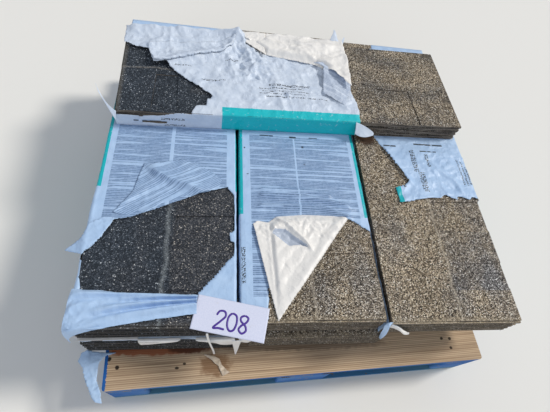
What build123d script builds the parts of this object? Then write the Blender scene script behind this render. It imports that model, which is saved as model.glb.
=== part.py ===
# A pallet load of laminated asphalt roofing shingles in torn film wrappers.
# Three bundles lie lengthwise on three more, a part-used one lies across the back,
# and all of it stands on a block pallet.
# Millimetres. X runs along the pallet's front edge, Y to its back, Z up.
# The origin is the middle of the pallet's underside.
from build123d import *
import os
from math import cos, sin

os.makedirs("parts", exist_ok=True)

# One shingle: a full top ply, and a second ply glued under its exposed half
shingle_length = 1038
shingle_width = 349
ply = 2.6
sheet_gap = 0.2
bend_run = 5
bend_gap = 1

# Cuts between the teeth of the top ply's exposed edge: where each starts, and its width.
# From shingle to shingle the layout moves on by a step, within a range from its lowest place.
tooth_cuts = [(80, 73), (250, 97), (520, 110), (770, 120)]
tooth_depth = 148
tooth_taper = 6
tooth_low = -69
tooth_step = 37
tooth_range = 160
cut_over = 5

# Bundles: shingles are laid in pairs, the second turned end for end to nest on the first
full_pair_count = 11
across_pair_count = 7
ragged_side = 0.8
ragged_end = 2.5
side_wander = 2.4
bent_wander = 1.7
flat_wander = 3.1

# Film wrappers, sleeves that are open at the bundle's ends
film = 0.5
film_gap = 0.1
side_room = 1.2
wrap_over = 4

# How the bundles lie, from the front left corner of the upper row, turned on the pallet.
# The load's middle lies off the pallet's by the shift.
load_turn = -2.6
load_shift = (10, -1)
row_names = ["left", "middle", "right"]
row_gap = 12.5
upper_front = [-8, 0, -7]
lower_front = [-18, -15, 45]
lower_side = [4, 32, 30]
top_layouts = [-69, 20, 3]
across_layout = 10
across_side = 20
across_front = 558
across_turn = 1.6

# Tears in the wrappers, seen from above, and the flaps that stand up from them.
# Each point is a share of the bundle's width, from its left side, and a length from its front end.
# The across bundle's left side is the one that faces the back.
left_tear = [(0.484, 301), (0.931, 366), (0.991, 317), (0.994, 169), (0.742, 76), (0.029, 84),
             (0.006, 168), (0.16, 258)]
left_front_film = 260
middle_tear = [(0.242, -20), (0.09, 259), (0.219, 281), (0.827, 261), (0.941, 300), (0.993, 300),
               (0.993, -20)]
middle_flap = [(0.067, 259), (0.219, 0), (0.787, 250)]
right_tear = [(-0.07, -20), (-0.07, 567), (0.152, 562), (0.375, 400), (0.287, 388), (0.249, 333),
              (0.304, 334), (0.745, 364), (0.937, 349), (1.03, 353), (1.03, -20)]
across_tear = [(0.226, -20), (0.304, 63), (0.464, 81), (0.436, 120), (0.788, 261), (0.86, 247),
               (0.983, 204), (0.983, -20)]
across_flap = [(0.14, 560), (0.484, 680), (0.011, 672)]
across_film_end = 690
flap_rise = 30

# Lot card that lies over the front edge, between the left and the middle bundle
card_width = 166
card_length = 78
card_thick = 0.8
card_turn = -12
card_middle = (338, 8)

# Block pallet: deck boards along X, stringer boards along Y on nine blocks, base boards along X
pallet_width = 1016
pallet_length = 1219
deck_board = 18
lead_board_width = 140
deck_board_width = 98
inner_board_count = 5
stringer_board = 18
stringer_width = 98
block_height = 90
block_length = 145
edge_block_width = 98
middle_block_width = 145
base_board = 18
corner_round = 8

# Levels and pitches that follow from the sizes above
pallet_height = base_board + block_height + stringer_board + deck_board
pair_height = 3 * ply + 2 * sheet_gap
skin = film + film_gap
bundle_height = full_pair_count * pair_height - sheet_gap + 2 * skin
across_height = across_pair_count * pair_height - sheet_gap + 2 * skin
upper_level = pallet_height + bundle_height
top_level = upper_level + bundle_height
row_pitch = shingle_width + row_gap
load_width = 3 * shingle_width + 2 * row_gap
half = shingle_width / 2


def plate(points, level, thick):
    """A flat plate with the given outline, its underside at a level."""
    return extrude(Pos(0, 0, level) * make_face(Polyline(*points, close=True)), amount=thick)


def bar(points, length):
    """A bar along Y, from its outline in X and Z."""
    return extrude(Plane.XZ * make_face(Polyline(*points, close=True)), amount=length, dir=(0, 1, 0))


def box(width, length, height):
    """A box that stands on its own middle."""
    return Box(width, length, height, align=(Align.CENTER, Align.CENTER, Align.MIN))


def on_pallet(shape):
    """Move a shape from the load's front left corner to its place on the pallet."""
    shift_x, shift_y = load_shift
    return Rot(0, 0, load_turn) * Pos(shift_x - load_width / 2, shift_y - shingle_length / 2, 0) * shape


def lying_across(shape):
    """Turn a lengthwise bundle's shape so that its exposed side faces the front."""
    return Pos(0, shingle_width, 0) * Rot(0, 0, -90) * shape


def on_across(shape):
    """Move a shape from the across bundle's own front left corner to the load's frame."""
    return Pos(across_side, across_front, top_level) * Rot(0, 0, across_turn) * shape


# Shingles
def cut_teeth(shingle, shift, edge, inward, level):
    """Cut the gaps between the teeth through the top ply, from the exposed edge."""
    for start, width in tooth_cuts:
        near = start + shift
        far = near + width
        deep = edge + inward * tooth_depth
        outside = edge - inward * cut_over
        outline = [(outside, near), (edge, near), (deep, near + tooth_taper),
                   (deep, far - tooth_taper), (edge, far), (outside, far)]
        shingle -= plate(outline, level, ply + cut_over)
    return shingle


def bent_shingle(shift, toothed):
    """The lower shingle of a pair: thick on the left, bent down over the right half."""
    outline = [(0, 0), (shingle_width, 0), (shingle_width, ply), (half + bend_run, ply),
               (half, 2 * ply), (0, 2 * ply)]
    blank = bar(outline, shingle_length)
    return cut_teeth(blank, shift, 0, 1, ply) if toothed else blank


def flat_shingle(shift, toothed):
    """The upper shingle of a pair: flat on top, its second ply under the right half."""
    low = ply + sheet_gap
    step = half + bend_run + bend_gap
    outline = [(0, low + ply), (step, low + ply), (step, low), (shingle_width, low),
               (shingle_width, low + 2 * ply), (0, low + 2 * ply)]
    blank = bar(outline, shingle_length)
    return cut_teeth(blank, shift, shingle_width, -1, low + ply) if toothed else blank


def layout(top_layout, depth):
    """Where the teeth of a shingle lie, by how many shingles are above it."""
    return tooth_low + (top_layout - tooth_low + tooth_step * depth) % tooth_range


def stack(pairs, top_layout, toothed=True):
    """Shingles laid in nested pairs, with ragged ends and a new tooth layout on each."""
    shingles = []
    for pair in range(pairs):
        depth = 2 * (pairs - 1 - pair)
        side = ragged_side * sin(side_wander * pair)
        level = skin + pair * pair_height
        bent_place = Pos(side, ragged_end * sin(bent_wander * pair), level)
        flat_place = Pos(side, ragged_end * cos(flat_wander * pair), level)
        shingles.append(bent_place * bent_shingle(layout(top_layout, depth + 1), toothed))
        shingles.append(flat_place * flat_shingle(layout(top_layout, depth), toothed))
    return Compound(shingles)


# Film
def sleeve(height):
    """A film wrapper round one bundle: floor, two sides and top, open at both ends."""
    low = -side_room - film
    high = shingle_width + side_room + film
    outer = [(low, 0), (high, 0), (high, height), (low, height)]
    inner = [(low + film, film), (high - film, film), (high - film, height - film),
             (low + film, height - film)]
    length = shingle_length + 2 * wrap_over
    return Pos(0, -wrap_over, 0) * (bar(outer, length) - bar(inner, length))


def on_width(points):
    """Points of a bundle's top, from their shares of its width."""
    return [(share * shingle_width, y) for share, y in points]


def tear(points, height):
    """What a tear takes out of the film on top of a wrapper of some height."""
    return plate(on_width(points), height - skin, 2 * skin)


def flap(corners, height):
    """A torn flap of film: two corners on the film on top, the third one standing up."""
    foot = height - film
    near, far, tip = on_width(corners)
    lifted = [(*near, foot), (*far, foot), (*tip, foot + flap_rise)]
    return extrude(make_face(Polyline(*lifted, close=True)), amount=film)


def left_wrapper():
    """Torn open on top, and drawn down over the left part of the front."""
    front = make_face(Polyline((0, skin), (0, bundle_height), (left_front_film, bundle_height), close=True))
    closing = Pos(0, -wrap_over, 0) * extrude(Plane.XZ * front, amount=film, dir=(0, 1, 0))
    return sleeve(bundle_height) + closing - tear(left_tear, bundle_height)


def middle_wrapper():
    """Torn along its right side, with a large flap that stands up from the tear."""
    return sleeve(bundle_height) - tear(middle_tear, bundle_height) + flap(middle_flap, bundle_height)


def right_wrapper():
    """Torn off the front half of the top."""
    return sleeve(bundle_height) - tear(right_tear, bundle_height)


def across_wrapper():
    """Torn off a patch at the left, and off the right end but for the floor and the back."""
    span = shingle_length + 2 * wrap_over
    ripped = box(2 * shingle_width, span, 2 * across_height)
    ripped = Pos(shingle_width, across_film_end + span / 2, film) * ripped
    torn = sleeve(across_height) - tear(across_tear, across_height) - ripped
    return torn + flap(across_flap, across_height)


# Pallet
def board(width, length, height):
    """A board or block with its upright corners worn round."""
    blank = box(width, length, height)
    return fillet(blank.edges().filter_by(Axis.Z), corner_round)


def pallet():
    """Named boards and blocks of the pallet, where they lie."""
    found = {}
    block_x = (pallet_width - edge_block_width) / 2
    block_y = (pallet_length - block_length) / 2
    deck_level = pallet_height - deck_board
    stringer_level = deck_level - stringer_board
    columns = [("left", -block_x, edge_block_width), ("middle", 0, middle_block_width),
               ("right", block_x, edge_block_width)]
    rows = [("front", -block_y), ("centre", 0), ("back", block_y)]
    lead_y = (pallet_length - lead_board_width) / 2
    found["lead_board_front"] = Pos(0, -lead_y, deck_level) * board(pallet_width, lead_board_width, deck_board)
    found["lead_board_back"] = Pos(0, lead_y, deck_level) * board(pallet_width, lead_board_width, deck_board)
    free = pallet_length - 2 * lead_board_width - inner_board_count * deck_board_width
    inner_pitch = deck_board_width + free / (inner_board_count + 1)
    for n in range(inner_board_count):
        y = (n - (inner_board_count - 1) / 2) * inner_pitch
        found[f"deck_board_{n + 1}"] = Pos(0, y, deck_level) * board(pallet_width, deck_board_width, deck_board)
    for column, x, block_width in columns:
        stringer = board(stringer_width, pallet_length, stringer_board)
        found[f"stringer_board_{column}"] = Pos(x, 0, stringer_level) * stringer
        for row, y in rows:
            block = board(block_width, block_length, block_height)
            found[f"block_{row}_{column}"] = Pos(x, y, base_board) * block
    for row, y in rows:
        found[f"base_board_{row}"] = Pos(0, y, 0) * board(pallet_width, block_length, base_board)
    return found


def card():
    """The lot card, flat on the film of two bundles."""
    blank = box(card_width, card_length, card_thick)
    return Pos(*card_middle, top_level) * Rot(0, 0, card_turn) * blank


# All pieces, by the name of their node
pieces = pallet()
for i, name in enumerate(row_names):
    lower = Pos(i * row_pitch + lower_side[i], lower_front[i], pallet_height)
    upper = Pos(i * row_pitch, upper_front[i], upper_level)
    pieces[f"lower_bundle_{name}"] = on_pallet(lower * stack(full_pair_count, tooth_low, toothed=False))
    pieces[f"lower_wrapper_{name}"] = on_pallet(lower * sleeve(bundle_height))
    pieces[f"upper_bundle_{name}"] = on_pallet(upper * stack(full_pair_count, top_layouts[i]))
    wrapper = [left_wrapper, middle_wrapper, right_wrapper][i]
    pieces[f"upper_wrapper_{name}"] = on_pallet(upper * wrapper())
across_stack = stack(across_pair_count, across_layout)
pieces["across_bundle"] = on_pallet(on_across(lying_across(across_stack)))
pieces["across_wrapper"] = on_pallet(on_across(lying_across(across_wrapper())))
pieces["lot_card"] = on_pallet(card())

for node, shape in pieces.items():
    export_step(shape, f"parts/{node}.step")
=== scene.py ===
import bpy
import numpy as np
from functools import partial
from mathutils import Matrix, Vector


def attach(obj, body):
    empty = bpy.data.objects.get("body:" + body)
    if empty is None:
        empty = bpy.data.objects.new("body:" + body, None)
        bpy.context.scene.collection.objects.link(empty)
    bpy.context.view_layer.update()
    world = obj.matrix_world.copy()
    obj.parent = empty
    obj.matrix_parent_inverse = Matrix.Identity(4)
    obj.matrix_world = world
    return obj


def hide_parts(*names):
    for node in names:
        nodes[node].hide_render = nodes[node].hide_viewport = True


# A pallet load of laminated asphalt shingles in torn film wrappers.
# Film is worked out in each bundle's own sheet: a runs round the bundle from the top's left edge,
# y runs along it from the front end, both in mm; h is the height over the film on top.

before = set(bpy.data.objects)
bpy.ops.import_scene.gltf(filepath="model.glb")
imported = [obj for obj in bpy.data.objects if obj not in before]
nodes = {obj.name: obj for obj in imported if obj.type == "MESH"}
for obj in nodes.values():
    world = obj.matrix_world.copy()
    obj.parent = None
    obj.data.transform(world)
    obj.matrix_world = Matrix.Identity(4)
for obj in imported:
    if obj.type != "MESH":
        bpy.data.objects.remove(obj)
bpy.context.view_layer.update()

load = {"turn": -2.6, "middle": (526.0, 520.0), "topLevel": 326.4}      # the same values as the frame's source
bundle = {"width": 349.0, "length": 1038.0, "high": 91.2, "acrossHigh": 58.4}
upperPlaces = {"left": (0.0, -8.0), "middle": (361.5, 0.0), "right": (723.0, -7.0)}
lowerPlaces = {"left": (4.0, -18.0), "middle": (393.5, -15.0), "right": (753.0, 45.0)}
acrossPlace = {"corner": (20.0, 558.0), "turn": 1.6}


def turned(x, y, degrees):
    # a plane turn: x cos - y sin, x sin + y cos
    t = np.radians(degrees)
    return x * np.cos(t) - y * np.sin(t), x * np.sin(t) + y * np.cos(t)


def loadToWorld(points):
    # shift to the middle of the load, turn with it, raise to its level, mm to metres
    x, y = turned(points[..., 0] - load["middle"][0], points[..., 1] - load["middle"][1], load["turn"])
    return np.stack([x, y, points[..., 2] + load["topLevel"]], -1) / 1000


def ownToLoad(points, place, level):
    # a lengthwise bundle's own corner to the load's
    return points + np.array([place[0], place[1], level])


def acrossToLoad(points):
    # the across bundle's sheet to the load: y runs to the right, a comes towards the front
    x, y = turned(points[..., 1], bundle["width"] - points[..., 0], acrossPlace["turn"])
    corner = acrossPlace["corner"]
    return np.stack([x + corner[0], y + corner[1], points[..., 2] + bundle["acrossHigh"]], -1)


# Shapes worked out as arrays
def smoothNoise(x, y, size, seed):
    # gradient noise: slopes drawn on a lattice, blended by a fifth-power step, about -1 to 1
    rng = np.random.default_rng(seed)
    angle = rng.uniform(0, 2 * np.pi, (64, 64))
    px, py = np.asarray(x, float) / size, np.asarray(y, float) / size
    ix, iy = np.floor(px).astype(int), np.floor(py).astype(int)
    fx, fy = px - ix, py - iy
    ux, uy = fx ** 3 * (fx * (6 * fx - 15) + 10), fy ** 3 * (fy * (6 * fy - 15) + 10)

    def corner(dx, dy):
        slope = angle[(ix + dx) % 64, (iy + dy) % 64]
        return np.cos(slope) * (fx - dx) + np.sin(slope) * (fy - dy)

    low = corner(0, 0) * (1 - ux) + corner(1, 0) * ux
    high = corner(0, 1) * (1 - ux) + corner(1, 1) * ux
    return (low * (1 - uy) + high * uy) * 1.6


def creases(x, y, size, seed):
    # sharp ridges between soft hollows: one less the size of the noise, in three halving sizes
    wx = x + 0.35 * size * smoothNoise(x, y, size * 1.3, seed + 50)
    wy = y + 0.35 * size * smoothNoise(x, y, size * 1.3, seed + 60)
    total = np.zeros(np.shape(x))
    for step in range(3):
        part = size / 2 ** step
        total = total + (1 - np.abs(smoothNoise(wx, wy, part, seed + step)) * 1.8) / 2 ** step
    return total / 1.75


def bump(value, middle, width):
    # a soft hill: the bell curve of the distance from its middle
    return np.exp(-((value - middle) / width) ** 2)


def fade(value, start, end):
    # 0 before the start, 1 after the end, smooth between
    t = np.clip((value - start) / (end - start), 0, 1)
    return t * t * (3 - 2 * t)


def offLine(x, y, start, end):
    # how far a point lies to the left of a straight line
    (x0, y0), (x1, y1) = start, end
    return ((x1 - x0) * (y - y0) - (y1 - y0) * (x - x0)) / np.hypot(x1 - x0, y1 - y0)


def crest(x, y, points, high, left, right):
    # a sharp fold along a broken line: falls off over one width on its left and another on its right
    d, _, side = lineDistance(x, y, points)
    return high * np.exp(-(d / np.where(side > 0, left, right)) ** 1.3)


def lineDistance(x, y, points):
    # distance to a broken line, how far along it the nearest point is, and 1 on its left or -1 on its right
    best = np.full(np.shape(x), 1e9)
    along = np.zeros(np.shape(x))
    side = np.zeros(np.shape(x))
    run = 0.0
    for (x0, y0), (x1, y1) in zip(points[:-1], points[1:]):
        length = np.hypot(x1 - x0, y1 - y0)
        t = np.clip(((x - x0) * (x1 - x0) + (y - y0) * (y1 - y0)) / length ** 2, 0, 1)
        d = np.hypot(x - x0 - t * (x1 - x0), y - y0 - t * (y1 - y0))
        along = np.where(d < best, run + t * length, along)
        side = np.where(d < best, np.sign(offLine(x, y, (x0, y0), (x1, y1))), side)
        best = np.minimum(best, d)
        run += length
    return best, along, side


def insideLoop(x, y, points):
    # even-odd rule: how many edges a line to the right crosses
    inside = np.zeros(np.shape(x), bool)
    for (x0, y0), (x1, y1) in zip(points, points[1:] + points[:1]):
        if y0 != y1:
            crosses = ((y0 > y) != (y1 > y)) & (x < (x1 - x0) * (y - y0) / (y1 - y0) + x0)
            inside ^= crosses
    return inside


def loopDistance(x, y, points, ragged=2.0, seed=1):
    # distance outside a loop, negative inside it, with the edge torn ragged by noise of two sizes
    d, _, _ = lineDistance(x, y, points + points[:1])
    d = np.where(insideLoop(x, y, points), -d, d)
    return d + ragged * (smoothNoise(x, y, 34, seed) + 0.35 * smoothNoise(x, y, 13, seed + 1))


def spaced(stops):
    # grid lines from stops of (where, spacing up to the next stop)
    lines = [np.array([stops[0][0]], float)]
    for (start, step), (end, _) in zip(stops[:-1], stops[1:]):
        count = max(1, int(round((end - start) / step)))
        lines.append(np.linspace(start, end, count + 1)[1:])
    return np.concatenate(lines)


def gridQuads(rows, count):
    # the faces of a grid: each point with its neighbours in the next row, point by point round the cell
    first = (np.arange(rows - 1)[:, None] * count + np.arange(count - 1)[None, :]).ravel()
    return np.stack([first, first + count, first + count + 1, first + 1], -1)


def cutSheet(aLines, yLines, filmDistance, place, **marks):
    # a grid of flat points; those near the torn edge slide onto it, and faces beyond it are dropped
    a, y = np.meshgrid(aLines, yLines, indexing="ij")
    da = np.gradient(aLines)[:, None] + 0 * a
    dy = np.gradient(yLines)[None, :] + 0 * a
    cell = np.minimum(np.minimum(da, dy), 8)
    d = filmDistance(a, y)
    ga, gy = filmDistance(a + 0.5, y) - d, filmDistance(a, y + 0.5) - d
    steep = np.maximum(ga ** 2 + gy ** 2, 0.05)
    near = np.abs(d) < 0.55 * cell
    move = np.clip(np.where(near, -0.5 * d / steep, 0), -8, 8)
    limit = 0.45 * cell
    a = a + np.clip(move * ga, -limit, limit)
    y = y + np.clip(move * gy, -limit, limit)
    kept = d > -0.55 * cell
    quads = gridQuads(len(aLines), len(yLines))
    quads = quads[kept.ravel()[quads].all(1)]
    flat = np.stack([a.ravel(), y.ravel()], -1)
    used, renamed = np.unique(quads, return_inverse=True)
    quads = renamed.reshape(-1, 4)
    flat = flat[used]
    points = place(flat[:, 0], flat[:, 1])
    return {"points": points, "quads": quads, "flat": flat, "marks": marks}


def loft(curves, across, along, ragged=0.0, seed=3, relief=None, flip=False, **marks):
    # a surface through curves: each is drawn smooth, and the points of one share run smooth over them;
    # the relief is added upwards, by share across and along
    def smoothThrough(points, count):
        points = np.asarray(points, float)
        t = np.linspace(0, len(points) - 1, count)
        i = np.clip(np.floor(t).astype(int), 0, len(points) - 2)
        f = (t - i).reshape(-1, *([1] * (points.ndim - 1)))
        before = points[np.maximum(i - 1, 0)]
        after = points[np.minimum(i + 2, len(points) - 1)]
        here, there = points[i], points[i + 1]
        slopeHere, slopeThere = (there - before) / 2, (after - here) / 2
        return ((2 * f ** 3 - 3 * f ** 2 + 1) * here + (f ** 3 - 2 * f ** 2 + f) * slopeHere
            + (3 * f ** 2 - 2 * f ** 3) * there + (f ** 3 - f ** 2) * slopeThere)

    rows = np.stack([smoothThrough(curve, across) for curve in curves])
    grid = smoothThrough(rows, along)                      # along × across × 3
    v, u = np.meshgrid(np.arange(along), np.arange(across), indexing="ij")
    if ragged:
        edge = bump(v, 0, 1.5) + bump(v, along - 1, 1.5)
        grid[..., 1] += ragged * edge * smoothNoise(grid[..., 0], grid[..., 1], 14, seed)
        grid[..., 0] += ragged * edge * smoothNoise(grid[..., 1], grid[..., 0], 14, seed + 1)
    if relief:
        grid[..., 2] += relief(grid[..., 0], grid[..., 1], u / (across - 1), v / (along - 1))
    quads = gridQuads(along, across)[:, [0, 3, 2, 1]]
    if flip:
        quads = quads[:, ::-1]
    points = grid.reshape(-1, 3)
    return {"points": points, "quads": quads, "flat": points[:, :2], "marks": marks}


markNames = ("printArea", "bandArea", "tanArea", "hollowArea")     # what the film's materials read, face by face


def makePiece(name, parts, materials, thick=0.4, toLoad=None):
    # joins the parts into one mesh, with the flat sheet as its UV map and the marks as face attributes
    points, quads, flat, marks, base = [], [], [], {}, 0
    for part in parts:
        points.append(part["points"])
        quads.append(part["quads"] + base)
        flat.append(part["flat"])
        middle = part["flat"][part["quads"]].mean(1)
        for key in markNames:
            rule = part["marks"].get(key, 0.0)
            value = rule(middle[:, 0], middle[:, 1]) if callable(rule) else np.full(len(middle), float(rule))
            marks.setdefault(key, []).append(value)
        base += len(part["points"])
    points, quads, flat = np.concatenate(points), np.concatenate(quads), np.concatenate(flat)
    world = loadToWorld(toLoad(points) if toLoad else points)
    mesh = bpy.data.meshes.new(name)
    mesh.from_pydata(world.tolist(), [], quads.tolist())
    uv = mesh.uv_layers.new(name="flatSheet")
    uv.data.foreach_set("uv", (flat[quads.ravel()] / 1000).astype(np.float32).ravel())
    for key in markNames:
        layer = mesh.attributes.new(key, "FLOAT", "FACE")
        layer.data.foreach_set("value", np.concatenate(marks[key]).astype(np.float32))
    mesh.polygons.foreach_set("use_smooth", np.ones(len(quads), bool))
    piece = bpy.data.objects.new(name, mesh)
    bpy.context.scene.collection.objects.link(piece)
    for material in materials:
        mesh.materials.append(material)
    if thick:
        wall = piece.modifiers.new("wall", "SOLIDIFY")
        wall.thickness = thick / 1000
        wall.offset = -1
        wall.material_offset = len(materials) - 1
    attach(piece, "root")
    return piece


# Materials
def dress(name, material):
    # a CAD piece in one material
    slots = nodes[name].data.materials
    slots.clear()
    slots.append(material)


def toLinear(hexColour):
    # the usual sRGB curve, undone
    channels = np.array([int(hexColour[i:i + 2], 16) / 255 for i in (1, 3, 5)])
    linear = np.where(channels <= 0.04045, channels / 12.92, ((channels + 0.055) / 1.055) ** 2.4)
    return (*[float(c) for c in linear], 1.0)


def plug(value, socket):
    # a node, by its first open output, or a socket is linked; a hex colour or a number is set
    if isinstance(value, bpy.types.Node):
        value = next(out for out in value.outputs if out.enabled)
    if isinstance(value, bpy.types.NodeSocket):
        socket.id_data.links.new(value, socket)
    else:
        socket.default_value = toLinear(value) if isinstance(value, str) else value


def addNode(tree, kind, *inputs, **settings):
    # one node: inputs in order or by name, then its own settings; a second word in kind says what it does
    kind, _, action = kind.partition(" ")
    node = tree.nodes.new("ShaderNode" + kind)
    if action:
        setattr(node, "data_type" if kind == "Mix" else "operation", action)
    for socket, value in zip(node.inputs, inputs):
        plug(value, socket)
    for key, value in settings.items():
        named = [socket for socket in node.inputs if socket.enabled and socket.name == key.replace("_", " ")]
        if named:
            plug(value, named[0])
        elif key == "ramp":
            while len(node.color_ramp.elements) < len(value):
                node.color_ramp.elements.new(1.0)
            for element, (where, colour) in zip(node.color_ramp.elements, value):
                element.position = where
                element.color = toLinear(colour)
        elif key == "steps":
            node.color_ramp.interpolation = value
        else:
            setattr(node, key, value)
    return node


def newMaterial(name):
    # an empty node tree with a shader, and the function that adds nodes to it
    material = bpy.data.materials.new(name)
    material.use_nodes = True
    tree = material.node_tree
    tree.nodes.clear()
    output = addNode(tree, "OutputMaterial")
    shader = addNode(tree, "BsdfPrincipled")
    plug(shader, output.inputs["Surface"])
    return material, partial(addNode, tree), shader


def placeFrame(add, corner, turn, level):
    # object coordinates in metres to mm in a bundle's own frame
    x, y = turned(corner[0] - load["middle"][0], corner[1] - load["middle"][1], load["turn"])
    coordinates = add("TexCoord")
    return add("Mapping", coordinates.outputs["Object"], vector_type="TEXTURE",
        Location=(x / 1000, y / 1000, level / 1000), Rotation=(0, 0, np.radians(load["turn"] + turn)),
        Scale=(0.001, 0.001, 0.001))


def clouds(add, place, size, low, high, least=0.0, most=1.0, **settings):
    # noise of a size in mm, run from least to most between two of its levels
    noise = add("TexNoise", place, Scale=1 / size, **settings)
    return add("MapRange", noise, low, high, least, most)


def standing(add, limit=0.6):
    # 1 on faces that stand: where the upward share of the normal is under the limit
    normal = add("NewGeometry")
    upward = add("SeparateXYZ", normal.outputs["Normal"])
    upright = add("Math ABSOLUTE", upward.outputs[2])
    return add("Math LESS_THAN", upright, limit)


def stained(add, own, colour, x0, x1, y0, y1, tone, strength):
    # an oval stain in the box: the distance from its middle, in half widths, roughened by noise and cut off at 1
    split = add("SeparateXYZ", own)
    offs = [add("Math SUBTRACT", split, (x0 + x1) / 2), add("Math SUBTRACT", split.outputs[1], (y0 + y1) / 2)]
    shares = [add("Math MULTIPLY", off, 2 / wide) for off, wide in zip(offs, (x1 - x0, y1 - y0))]
    spot = add("CombineXYZ", *shares)
    distance = add("VectorMath LENGTH", spot)
    rough = add("TexNoise", own, Scale=1 / 14, Detail=4.0)
    edge = add("Math ADD", distance.outputs["Value"], rough)
    mask = add("MapRange", edge, 1.65, 1.25, 0.0, strength)
    return add("Mix RGBA", mask, A=colour, B=tone)


# Laminated asphalt shingle: ceramic-coated rock granules pressed into asphalt on a glass mat.
# A matt, gritty blend of charcoal, brown, tan and pale grains; the cut edges are black asphalt.
# Real grains are 1 to 2 mm; they are drawn 2 mm wide, because finer ones don't show.
def makeGranules(name, corner, turn, level, look):
    material, add, shader = newMaterial(name)
    own = placeFrame(add, corner, turn, level)
    split = add("SeparateXYZ", own)
    side = standing(add)
    grains = add("TexVoronoi", own, Scale=1 / look["grain"])
    grainValue = add("SeparateColor", grains.outputs["Color"])
    warm = add("ValToRGB", grainValue, steps="CONSTANT", ramp=look["warm"])
    cool = add("ValToRGB", grainValue, steps="CONSTANT", ramp=look["cool"])
    # blotches of the blend, 90 mm wide and drawn out along the shingle
    stretched = add("Mapping", own, Scale=(1.0, 0.55, 1.0))
    blotch = add("TexNoise", stretched, Scale=1 / 90, Detail=3.0, Roughness=0.6)
    # the exposed half differs tooth by tooth: cooler, or warmer where its sign is -1; on the across bundle this ramp
    # lays painted shade over the left end instead
    exposed = add("MapRange", split, look["exposedFrom"], look["exposedFrom"] + 12.0)
    along = add("MapRange", split.outputs[1], 0.0, bundle["length"])
    teeth = add("ValToRGB", along, steps="CONSTANT", ramp=look["teeth"])
    toothShare = add("Math MULTIPLY", exposed, look.get("exposedSign", 1.0))
    toothValue = add("Math MULTIPLY", toothShare, teeth)
    coolness = add("Math ADD", toothValue, look["coolness"])
    wander = add("MapRange", blotch, 0.35, 0.65, -0.3, 0.3)
    factor = add("Math ADD", coolness, wander, use_clamp=True)
    colour = add("Mix RGBA", factor, A=warm, B=cool)
    # handling wear: darker and paler patches
    wearShade = clouds(add, own, 140, 0.3, 0.7, look["shade"] - 0.14, look["shade"] + 0.14, Detail=2.0)
    shaded = add("HueSaturation", Value=wearShade, Color=colour)
    # the chalky line where the film strip was, 9 to 16 mm wide with soft edges, and broken
    fromLine = add("Math SUBTRACT", split, look["line"])
    shiftRange = clouds(add, own, 60, 0.3, 0.7, -4.0, 4.0, noise_dimensions="2D")
    lineAt = add("Math ADD", fromLine, shiftRange)
    lineOff = add("Math ABSOLUTE", lineAt)
    lineMask = add("MapRange", lineOff, look["lineWide"], 1.0, 0.0, look["lineStrength"])
    chalkRange = clouds(add, own, 3.5, 0.36, 0.56, 0.15, Detail=2.0)
    lineFactor = add("Math MULTIPLY", lineMask, chalkRange)
    lined = add("Mix RGBA", lineFactor, A=shaded, B=look["chalk"])
    for x0, x1, y0, y1, tone, strength in look.get("dirt", []):
        lined = stained(add, own, lined, x0, x1, y0, y1, tone, strength)
    # rubbed edges at the ends are paler
    endOff = add("MapRange", split.outputs[1], 14.0, 0.0, 0.0, look["rubbed"])
    worn = add("Mix RGBA", endOff, A=lined, B="#b3a68f")
    # cut edges: layers of black asphalt with grey and brown lines, 2.6 mm high and drawn out
    layers = add("Mapping", own, Scale=(1 / 110, 1 / 110, 1 / 3.2))
    layerNoise = add("TexNoise", layers, Scale=1.0, Detail=3.0, Roughness=0.7)
    layerColour = add("ValToRGB", layerNoise, ramp=look["layers"])
    sparks = add("MapRange", grainValue.outputs[1], 0.9, 0.94, 0.0, 0.4)
    faceColour = add("Mix RGBA", sparks, A=layerColour, B="#8c8378")
    final = add("Mix RGBA", side, A=worn, B=faceColour)
    plug(final, shader.inputs["Base Color"])
    shader.inputs["Roughness"].default_value = 0.88
    shader.inputs["Specular IOR Level"].default_value = 0.3
    fine = add("TexVoronoi", own, Scale=1 / (0.62 * look["grain"]))
    raised = add("Bump", Strength=0.75, Distance=0.0012, Height=fine.outputs["Distance"])
    plug(raised, shader.inputs["Normal"])
    return material
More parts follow.
